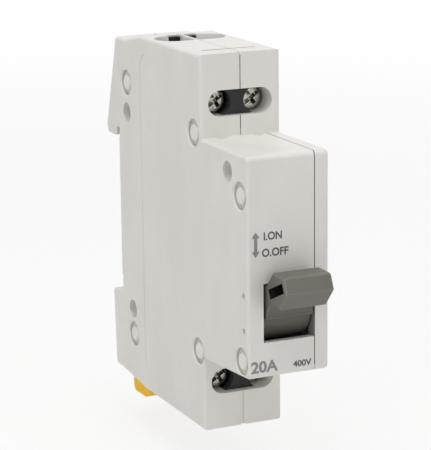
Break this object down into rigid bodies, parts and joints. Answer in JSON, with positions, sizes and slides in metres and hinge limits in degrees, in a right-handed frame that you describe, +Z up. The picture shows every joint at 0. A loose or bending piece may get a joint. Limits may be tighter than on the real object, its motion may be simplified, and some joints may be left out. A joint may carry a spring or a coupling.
{
  "type": "din rail switch disconnector",
  "caption": "Slim rail-mounted switch disconnector with a grey toggle lever, screw terminals above and below and a yellow rail clip.",
  "frame": {"origin": "middle of the flat face that seats on the front of the rail's flanges, half-way up the 35 mm rail", "axes": "+X right seen from the front, along the rail; +Y backwards, out of the seat face into the rail; +Z up, so the front faces -Y"},
  "size_m": [0.018, 0.0816, 0.085],
  "materials": {
    "housing": "fine satin, warm light grey",
    "carrier": "satin black",
    "lever": "satin brown grey",
    "clip": "satin yellow",
    "screw": "zinc plated",
    "cage": "zinc plated",
    "copper": "bright rolled copper",
    "silver": "silver contact tips",
    "spring_steel": "spring wire"
  },
  "bodies": {
    "housing": {"left_shell": "housing", "right_shell": "housing", "staking_pins": "housing", "upper_terminal_carrier": "carrier", "lower_terminal_carrier": "carrier", "fixed_contact_upper_left": "copper", "fixed_contact_upper_right": "copper", "fixed_contact_lower_left": "copper", "fixed_contact_lower_right": "copper", "fixed_contact_tips": "silver", "lever_spring": "spring_steel"},
    "lever": {"lever": "lever"},
    "contact_carrier": {"contact_carrier": "carrier", "contact_spring_left": "spring_steel", "contact_spring_right": "spring_steel"},
    "bridge_left": {"contact_bridge_left": "copper", "bridge_tips_left": "silver"},
    "bridge_right": {"contact_bridge_right": "copper", "bridge_tips_right": "silver"},
    "rail_clip": {"rail_clip": "clip"},
    "terminal_screw_upper_left": {"terminal_screw_upper_left": "screw"},
    "clamp_cage_upper_left": {"clamp_cage_upper_left": "cage"},
    "terminal_screw_upper_right": {"terminal_screw_upper_right": "screw"},
    "clamp_cage_upper_right": {"clamp_cage_upper_right": "cage"},
    "terminal_screw_lower_left": {"terminal_screw_lower_left": "screw"},
    "clamp_cage_lower_left": {"clamp_cage_lower_left": "cage"},
    "terminal_screw_lower_right": {"terminal_screw_lower_right": "screw"},
    "clamp_cage_lower_right": {"clamp_cage_lower_right": "cage"}
  },
  "joints": [
    {"name": "lever_turn", "type": "hinge", "parent": "housing", "child": "lever", "pos_m": [0, -0.0577, -0.00925], "axis": [1, 0, 0], "range_deg": [0, 48.4], "deforming": ["lever_spring"]},
    {"name": "carrier_slide", "type": "slide", "parent": "housing", "child": "contact_carrier", "axis": [0, -1, 0], "range_m": [0, 0.00385]},
    {"name": "clip_slide", "type": "slide", "parent": "housing", "child": "rail_clip", "axis": [0, 0, -1], "range_m": [0, 0.0045]},
    {"name": "bridge_give_left", "type": "slide", "parent": "contact_carrier", "child": "bridge_left", "axis": [0, -1, 0], "range_m": [0, 0.0008], "stiffness_N_per_m": 400, "springref_m": -0.001, "deforming": ["contact_spring_left"]},
    {"name": "bridge_give_right", "type": "slide", "parent": "contact_carrier", "child": "bridge_right", "axis": [0, -1, 0], "range_m": [0, 0.0008], "stiffness_N_per_m": 400, "springref_m": -0.001, "deforming": ["contact_spring_right"]},
    {"name": "screw_turn_upper_left", "type": "hinge", "parent": "housing", "child": "terminal_screw_upper_left", "pos_m": [-0.0041, -0.0382, 0.0294], "axis": [0, 1, 0], "range_deg": [0, 3601]},
    {"name": "cage_rise_upper_left", "type": "slide", "parent": "housing", "child": "clamp_cage_upper_left", "axis": [0, -1, 0], "range_m": [0, 0.007]},
    {"name": "screw_turn_upper_right", "type": "hinge", "parent": "housing", "child": "terminal_screw_upper_right", "pos_m": [0.0041, -0.0382, 0.0294], "axis": [0, 1, 0], "range_deg": [0, 3601]},
    {"name": "cage_rise_upper_right", "type": "slide", "parent": "housing", "child": "clamp_cage_upper_right", "axis": [0, -1, 0], "range_m": [0, 0.007]},
    {"name": "screw_turn_lower_left", "type": "hinge", "parent": "housing", "child": "terminal_screw_lower_left", "pos_m": [-0.0041, -0.0382, -0.0294], "axis": [0, 1, 0], "range_deg": [0, 3601]},
    {"name": "cage_rise_lower_left", "type": "slide", "parent": "housing", "child": "clamp_cage_lower_left", "axis": [0, -1, 0], "range_m": [0, 0.007]},
    {"name": "screw_turn_lower_right", "type": "hinge", "parent": "housing", "child": "terminal_screw_lower_right", "pos_m": [0.0041, -0.0382, -0.0294], "axis": [0, 1, 0], "range_deg": [0, 3601]},
    {"name": "cage_rise_lower_right", "type": "slide", "parent": "housing", "child": "clamp_cage_lower_right", "axis": [0, -1, 0], "range_m": [0, 0.007]}
  ],
  "couplings": [
    {"joint": "lever_turn", "follows": "carrier_slide", "rad_per_m": 219.23},
    {"joint": "screw_turn_upper_left", "follows": "cage_rise_upper_left", "rad_per_m": 8976},
    {"joint": "screw_turn_upper_right", "follows": "cage_rise_upper_right", "rad_per_m": 8976},
    {"joint": "screw_turn_lower_left", "follows": "cage_rise_lower_left", "rad_per_m": 8976},
    {"joint": "screw_turn_lower_right", "follows": "cage_rise_lower_right", "rad_per_m": 8976}
  ]
}
